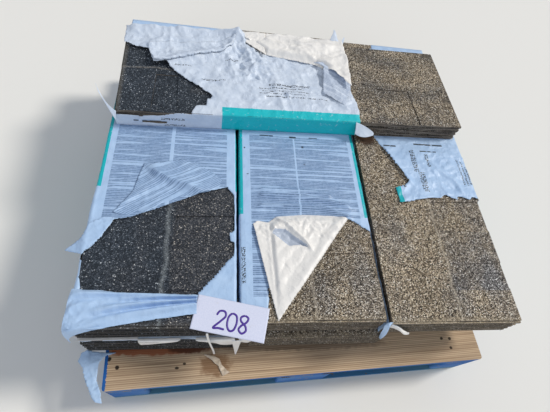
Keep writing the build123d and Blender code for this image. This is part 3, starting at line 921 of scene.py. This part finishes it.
def heightAcross(a, y):
    # creases of two sizes, two ridges, crumples in the middle and a roll along the back; nearly flat at the front
    h = 1.0 + 7.0 * creases(a, y, 76, 61) + 2.2 * creases(a, y * 0.6, 27, 63)
    h = h + crest(a, y, acrossFilm["ridgeBehind"], 11, 26, 16) + crest(a, y, acrossFilm["ridgeFront"], 13, 34, 9)
    for line, size in acrossFilm["crumples"]:
        h = h + crest(a, y, line, size, 9, 12)
    middle = bump(y, 380, 75) * fade(a, -10, 20) * (1 - fade(a, 180, 240))
    h = h + 12 * (creases(a, y, 30, 66) - 0.4) * middle
    roll = (15 + 7 * smoothNoise(a * 0, y, 46, 67)) * fade(y, -4, 26) * (1 - fade(y, 345, 400))
    h = h + (roll + 7 * fade(y, 380, 430)) * bump(a, 6, 22)
    front = 1 - fade(a, 296, 330)
    return np.maximum(h * (0.10 + 0.90 * front), 0.1) * fade(a, -58, -30) * (1 - fade(a, 395, 407))


def placeAcross(a, y):
    # set out 2.6 mm at the back, where the shingles stand a little proud
    return roundBundle(a, y, bundle["acrossHigh"], np.where(a < 0, 2.6, filmSizes["out"]), heightAcross(a, y))


def heightLap(a, y):
    # a lap of the film that falls forward over itself: low at its back, a free rolled edge in front
    edge, _, _ = lineDistance(a, y, acrossFilm["lap"][2:10])
    h = heightAcross(a, y) + 1.2 + 6.5 * (1 - fade(edge, 4, 34)) - 3.5 * bump(edge, 0, 4)
    return h + 1.5 * creases(a, y, 40, 68)


def heightFold(a, y):
    # hovers over the film along its front edge, with a crest 20 mm in and sharp wrinkles that run to the corner
    edge, _, _ = lineDistance(a, y, acrossFilm["foldFront"])
    h = 8 + 16 * fade(edge, 0, 24) * (0.35 + 0.65 * fade(a, -14, 60))
    h = h + 8 * (creases(a, y * 0.55, 44, 71) - 0.4) * fade(edge, 3, 20)
    rib = np.sin((a * 0.5 + y * 0.25) / 6.5 + 2 * smoothNoise(a, y, 60, 73))
    h = h + 1.4 * rib * fade(edge, 6, 24) + 7 * crest(a, y, [(0, 470), (40, 560), (30, 660)], 1, 14, 14)
    return np.minimum(h, 34)


def heightTip(a, y):
    # a slope down to the front, with creases and one crest, cut off at 26 mm
    h = 17 - 0.075 * (a - 119) + 2.5 * creases(a, y, 30, 75)
    return np.minimum(h + crest(a, y, [(125, 600), (291, 660)], 4, 14, 14), 26)


acrossParts = [
    cutSheet(spaced([(-228.4, 40), (-58.4, 6), (-14, 3.5), (345, 3.5), (365, 4.5), (407.4, 40), (570, 40)]),
        spaced([(-6, 3.5), (720, 14), (1044, 14)]),
        wrapperDistance([acrossFilm[key] for key in ("tear", "slit", "rightEnd")], (-4, 1042), 104, 2.2),
        placeAcross, bandArea=lambda a, y: (a > 319) * (a < 407) * (y > 288) * 1.0),
    patch(acrossFilm["lap"], heightLap, None, 3.2, 1.2, 70, False),
    patch(acrossFilm["fold"], heightFold, None, 3.2, 1.2, 71, True),
    patch(acrossFilm["tip"], heightTip, None, 3.0, 1.2, 75, False, 35.0, printArea=0.45),
    patch(acrossFilm["tan"], lambda a, y: 17 + 2 * creases(a, y, 20, 76), None, 3.0, 1.2, 77, True, tanArea=1.0),
    # spikes at the back right and a remnant that hangs from the band's end
    loft([[(2, 654, 14), (0, 672, 19), (4, 690, 15)], [(-16, 662, 20), (-18, 674, 23), (-16, 684, 20)],
        [(-34, 671, 24), (-34, 676, 25), (-34, 682, 24)], [(-50, 675, 26), (-50, 677, 26), (-50, 679, 26)]], 12, 22,
        2.0, 78),
    loft([[(2, 692, 13), (8, 702, 12)], [(-12, 702, 17), (-8, 708, 16)], [(-24, 710, 19), (-23, 712, 19)]], 8, 14,
        1.5, 79),
    loft([[(351, 689, -1), (360, 689, -13), (371, 690, -30)], [(352, 707, -7), (364, 708, -20), (377, 706, -34)],
        [(353, 729, -18), (364, 730, -29), (375, 728, -38)], [(357, 753, -32), (362, 755, -35), (367, 753, -38)]], 14,
        22, 1.5, 80),
    # the front strip's left end, torn up into a thin curl
    loft([[(352, 4, -4), (360, 2, -14), (366, 1, -24)], [(346, -10, 6), (352, -10, 0), (358, -8, -8)],
        [(330, -26, 16), (334, -26, 14), (339, -23, 11)], [(304, -42, 24), (307, -43, 24), (311, -41, 23)],
        [(284, -51, 28), (285, -51, 28), (287, -50, 28)]], 12, 30, 1.0, 81, None, True)]
acrossWrapper = makePiece("film_wrapper_across", acrossParts, [acrossPrinted, plainFilm], toLoad=acrossToLoad)
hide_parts("across_wrapper")

# Lower wrappers: closed sleeves, seen at the sides and at the open ends. The left one's top edge shows
# between the layers, with a torn piece of it hanging over the front.
sleeveA = spaced([(-261, 50), (-91, 8), (0, 12), (349, 8), (440, 50), (610, 50)])
sleeveY = spaced([(-10, 4), (60, 14), (980, 6), (1044, 6)])
frontEnds = {"left": 3.0, "middle": 26.0, "right": 6.0}
for name, place in lowerPlaces.items():
    def placeLower(a, y, place=place):
        # bagged out at the sides only, between the top edge and the floor
        bag = 1.2 + 2.6 * creases(a, y, 70, 81)
        h = np.where((a < 0) | (a > bundle["width"]), bag, 0.0) * fade(a, -90, -70) * (1 - fade(a, 420, 440))
        return ownToLoad(
            roundBundle(a, y, bundle["high"], filmSizes["out"], np.maximum(h, 0)), place, -bundle["high"])
    parts = [cutSheet(sleeveA, sleeveY, wrapperDistance([], (frontEnds[name], 1042), 90), placeLower,
        bandArea=sideBand(300, 742))]
    if name == "left":
        parts += [
            loft([[(128, -12, -90), (165, -12, -90), (226, -12, -90)],
                [(130, -18.8, -91), (164, -19, -91), (222, -19, -91)],
                [(132, -20.6, -106), (158, -20.4, -106), (196, -20.4, -100)],
                [(135, -20.8, -118), (156, -20.4, -117), (170, -20, -108)]],
                30, 16, 1.5, 82, tanArea=1.0),
            loft([[(262, -12, -90), (300, -12, -90), (352, -12, -90)],
                [(262, -19, -91), (300, -19.4, -91), (354, -19.6, -91)],
                [(280, -20.6, -96), (310, -21.6, -106), (352, -21, -112)],
                [(296, -20.8, -100), (322, -21.2, -122), (350, -20.6, -132)]],
                30, 18, 1.8, 83, tanArea=1.0),
            loft([[(-4, -6, -89), (20, -8, -89), (130, -8, -89)],
                [(-6, -16, -88), (20, -15, -88), (130, -14.6, -88)]],
                40, 6, tanArea=1.0)]
    piece = makePiece("film_sleeve_" + name, parts, [sleevePrinted, plainFilm])
    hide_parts("lower_wrapper_" + name)
print("film done")

# Loose scraps of film that came off with the wrappers and lie on the front board, all of one piece of film each
scrapLook = {
    "corner": [(-14, -22), (0, -15), (16, -21), (52, -24), (67, -25), (41, -34), (30, -50), (32, -84), (45, -112),
        (54, -139), (36, -134), (24, -120), (4, -82), (-5, -60), (-19, -42)],
    "glob": [(273, -31), (300, -36), (321, -45), (329, -62), (346, -78), (330, -86), (318, -64), (298, -46)],
    "boardTop": -182.4,
}


def cornerHeight(a, y):
    # lies on the board's end and sags a little where it hangs over its left side
    return scrapLook["boardTop"] + 1.6 + 2.4 * creases(a, y, 34, 91) - 0.25 * np.clip(-a, 0, 30)


cornerScrap = makePiece("film_scrap_corner", [patch(scrapLook["corner"], cornerHeight, None, 3.0, 1.5, 92)],
    [plainPrinted, plainFilm])
globScrap = makePiece("film_scrap_glued",
    [patch(scrapLook["glob"], lambda a, y: scrapLook["boardTop"] + 0.8 + 2.2 * creases(a, y, 11, 94),
        None, 2.0, 1.5, 95)], [gluedFilm, gluedFilm])
scraps = {
    "film_scrap_tie": ([[(284, -22, -6), (289, -22, -6)], [(287, -26, -40), (292, -26, -41)],
        [(294, -30, -90), (299, -30, -92)], [(301, -32, -140), (306, -32, -142)],
        [(305, -34, -181), (310, -34, -181)]], (0.010, 0.18), 0.0009),
    "film_scrap_point": ([[(346, -20.5, -92), (370, -20.5, -92)], [(350, -23, -120), (368, -23, -122)],
        [(355, -28, -150), (366, -28, -152)], [(360, -36, -180), (362, -36, -181)]], (0.024, 0.10), 0.0013),
    "film_scrap_short": ([[(362, -17, -86), (398, -17, -86)], [(366, -19, -100), (396, -19, -102)],
        [(372, -20, -112), (388, -20, -118)]], (0.036, 0.04), 0.0009),
}
for name, (rows, flat, area) in scraps.items():
    scrap = makePiece(name, [loft(rows, 10, 30, 0.8, 96)], [plainPrinted, plainFilm])
print("scraps done")

# Lot card: clay-coated card, calendered smooth, so it is matt with a faint bluish white and fine fibres.
# It bends a little where it leaves the bundles. The number is spirit marker, a thin dry film of violet dye:
# a little glossier than the card, paler where the tip dragged.
cardLook = {"size": (166.0, 78.0), "middle": (338.0, 8.0), "turn": -12.0, "thick": 0.7, "droop": 5.0, "stroke": 4.6,
    "digits": [[[(-30, 9), (-25, 19), (-14, 20), (-10, 10), (-20, -4), (-32, -19), (-20, -18), (-7, -19)]],
        [[(4, 20), (-3, 10), (-3, -8), (4, -19), (13, -16), (17, 0), (14, 15), (4, 20)]],
        [[(33, 20), (25, 15), (26, 6), (37, -3), (40, -13), (32, -20), (24, -13), (28, -4), (38, 5), (41, 15),
            (33, 20)]]],
    "digitPlace": (-2.0, -8.0)}


def cardPoint(u, v, lift):
    # across and along the card to the load: flat on the bundles, curving down past their front
    x, y = turned(u, v, cardLook["turn"])
    x, y = x + cardLook["middle"][0], y + cardLook["middle"][1]
    z = 1.6 - cardLook["droop"] * (np.clip(-y - 2, 0, 60) / 45) ** 1.6 + 1.2 * np.sin(u / 34) * fade(-v, -10, 39)
    return np.stack([x, y, z + lift], -1)


wide, deep = cardLook["size"]
u, v = np.meshgrid(np.linspace(-wide / 2, wide / 2, 56), np.linspace(-deep / 2, deep / 2, 28), indexing="ij")
cardPart = {"points": cardPoint(u, v, cardLook["thick"]).reshape(-1, 3), "quads": gridQuads(56, 28),
    "flat": np.stack([u.ravel(), v.ravel()], -1), "marks": {}}
cardMaterial, add, shader = newMaterial("coatedCard")
coordinates = add("UVMap", uv_map="flatSheet")
fibre = add("TexNoise", coordinates, Scale=320.0, Detail=3.0)
tone = add("ValToRGB", fibre, ramp=[(0.3, "#cdd3ea"), (0.7, "#d8dcf0")])
smudge = add("TexNoise", coordinates, Scale=60.0, Detail=4.0, Roughness=0.7)
smudged = add("MapRange", smudge, 0.60, 0.75, 0.0, 0.35)
plug(add("Mix RGBA", smudged, A=tone, B="#b9b3ab"), shader.inputs["Base Color"])
shader.inputs["Roughness"].default_value = 0.55
bent = add("Bump", Strength=0.12, Distance=0.001, Height=fibre)
plug(bent, shader.inputs["Normal"])
inkMaterial, add, shader = newMaterial("markerInk")
coordinates = add("UVMap", uv_map="flatSheet")
drag = add("TexNoise", coordinates, Scale=500.0, Detail=3.0)
inkTone = add("ValToRGB", drag, ramp=[(0.35, "#3b1f86"), (0.65, "#56379f")])
plug(inkTone, shader.inputs["Base Color"])
shader.inputs["Roughness"].default_value = 0.45


def strokeRibbon(points, width):
    # a marker stroke: a smooth line through the points, widened to both sides, laid on the card
    count = 12 * len(points)
    line = loft([[(x, y, 0.0) for x, y in points]] * 2, count, 2)["points"][:count, :2]
    way = np.gradient(line, axis=0)
    aside = np.stack([-way[:, 1], way[:, 0]], -1) / np.maximum(np.hypot(way[:, 0], way[:, 1]), 1e-6)[:, None]
    ends = np.minimum(np.arange(len(line)), np.arange(len(line))[::-1]) / 3.0
    wide = width / 2 * np.sqrt(np.clip(ends, 0.15, 1))[:, None]
    sides = np.stack([line - aside * wide, line, line + aside * wide], 1)
    across, along = sides[..., 0] + cardLook["digitPlace"][0], sides[..., 1] + cardLook["digitPlace"][1]
    return {"points": cardPoint(across, along, cardLook["thick"] + 0.25).reshape(-1, 3),
        "quads": gridQuads(len(line), 3),
        "flat": np.stack([across.ravel(), along.ravel()], -1), "marks": {}}


card = makePiece("card_with_number", [cardPart], [cardMaterial], cardLook["thick"])
number = makePiece("card_number",
    [strokeRibbon(stroke, cardLook["stroke"]) for digit in cardLook["digits"] for stroke in digit],
    [inkMaterial], 0.1)
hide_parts("lot_card")
print("card done")

# Stage, light and camera
floorLook = {"half": 9, "colour": "#e4e3df", "roughness": 0.9}     # painted concrete, rolled on and matt
floorMesh = bpy.data.meshes.new("paleFloor")
half = floorLook["half"]
floorMesh.from_pydata([(-half, -half, 0), (half, -half, 0), (half, half, 0), (-half, half, 0)], [], [(0, 1, 2, 3)])
floor = bpy.data.objects.new("paleFloor", floorMesh)
bpy.context.scene.collection.objects.link(floor)
floorMaterial, _, shader = newMaterial("paleFloor")
shader.inputs["Base Color"].default_value = toLinear(floorLook["colour"])
shader.inputs["Roughness"].default_value = floorLook["roughness"]
floorMesh.materials.append(floorMaterial)

lights = {"keyLight": {"strength": 2.4, "angle": 12.0, "from": (1.0, 0.2, 0.98), "colour": (1.0, 0.95, 0.87)},
    "fillLight": {"strength": 0.55, "angle": 50.0, "from": (-0.3, -1.0, 0.45), "colour": (0.96, 0.98, 1.0)}}
for name, look in lights.items():
    lamp = bpy.data.lights.new(name, "SUN")
    lamp.energy, lamp.angle, lamp.color = look["strength"], np.radians(look["angle"]), look["colour"]
    holder = bpy.data.objects.new(name, lamp)
    bpy.context.scene.collection.objects.link(holder)
    holder.rotation_euler = Vector(look["from"]).to_track_quat("Z", "Y").to_euler()
sky = {"colour": "#e6edf9", "strength": 0.5}
world = bpy.data.worlds.new("softSky")
bpy.context.scene.world = world
world.use_nodes = True
world.node_tree.nodes["Background"].inputs[0].default_value = toLinear(sky["colour"])
world.node_tree.nodes["Background"].inputs[1].default_value = sky["strength"]

cameraLook = {"place": (-0.2759, -0.7353, 1.2107), "right": (0.98248, -0.09843, 0.15825),
    "down": (-0.00379, -0.85951, -0.5111), "ahead": (0.18633, 0.50155, -0.84483), "lens": 25.6, "sensor": 36.0}
cameraData = bpy.data.cameras.new("photoCamera")
cameraData.lens = cameraLook["lens"]
cameraData.sensor_width = cameraLook["sensor"]
camera = bpy.data.objects.new("photoCamera", cameraData)
bpy.context.scene.collection.objects.link(camera)
axes = np.array([cameraLook["right"], -np.array(cameraLook["down"]), -np.array(cameraLook["ahead"])]).T
matrix = np.eye(4)
matrix[:3, :3] = axes
matrix[:3, 3] = cameraLook["place"]
camera.matrix_world = Matrix(matrix.tolist())
bpy.context.scene.camera = camera
bpy.context.scene.view_settings.view_transform = "Standard"

print("camera and light done")
